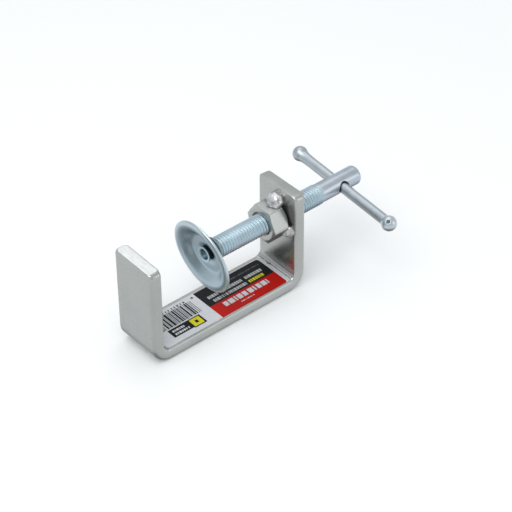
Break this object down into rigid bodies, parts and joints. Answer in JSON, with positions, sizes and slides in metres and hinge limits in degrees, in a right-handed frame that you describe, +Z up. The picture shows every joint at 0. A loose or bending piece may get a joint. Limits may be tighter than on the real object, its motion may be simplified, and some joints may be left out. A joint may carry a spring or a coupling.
{
  "type": "screw clamp",
  "caption": "Small U-frame screw clamp: bent flat-bar frame, welded hexagon nut, clamping screw with sliding T-bar and a loose dished pad.",
  "frame": {"origin": "centre of the frame's flat underside", "axes": "+X along the screw, from the fixed jaw towards the T-bar; +Z up, from the frame's floor towards the open side; +Y towards the T-bar's forged end"},
  "size_m": [0.129, 0.0673, 0.053],
  "materials": {
    "painted_steel": "satin silver-grey paint",
    "zinc_plate": "bright zinc plate",
    "printed_label": "printed self-adhesive film"
  },
  "bodies": {
    "frame": {"frame_bracket": "painted_steel", "weld_nut": "painted_steel", "weld_top": "painted_steel", "weld_near_side": "painted_steel", "weld_far_side": "painted_steel", "product_label": "printed_label"},
    "washer": {"thrust_washer": "zinc_plate"},
    "screw": {"clamp_screw": "zinc_plate"},
    "pad": {"swivel_pad": "zinc_plate"},
    "t_bar": {"tommy_bar": "zinc_plate", "ball_end": "zinc_plate"}
  },
  "joints": [
    {"name": "screw_feed", "type": "slide", "parent": "frame", "child": "washer", "axis": [1, 0, 0], "range_m": [-0.02326, 0.02626]},
    {"name": "screw_turn", "type": "hinge", "parent": "washer", "child": "screw", "pos_m": [0.00105, 0, 0.0354], "axis": [1, 0, 0], "range_deg": [-5580, 6300]},
    {"name": "pad_tilt", "type": "hinge", "parent": "washer", "child": "pad", "pos_m": [-0.0019, 0, 0.0354], "axis": [0, 1, 0], "range_deg": [0, 14]},
    {"name": "bar_slide", "type": "slide", "parent": "screw", "child": "t_bar", "axis": [0, 0.9956, 0.0941], "range_m": [-0.0162, 0.0268]}
  ],
  "couplings": [
    {"joint": "screw_feed", "follows": "screw_turn", "m_per_rad": 0.00023873}
  ]
}
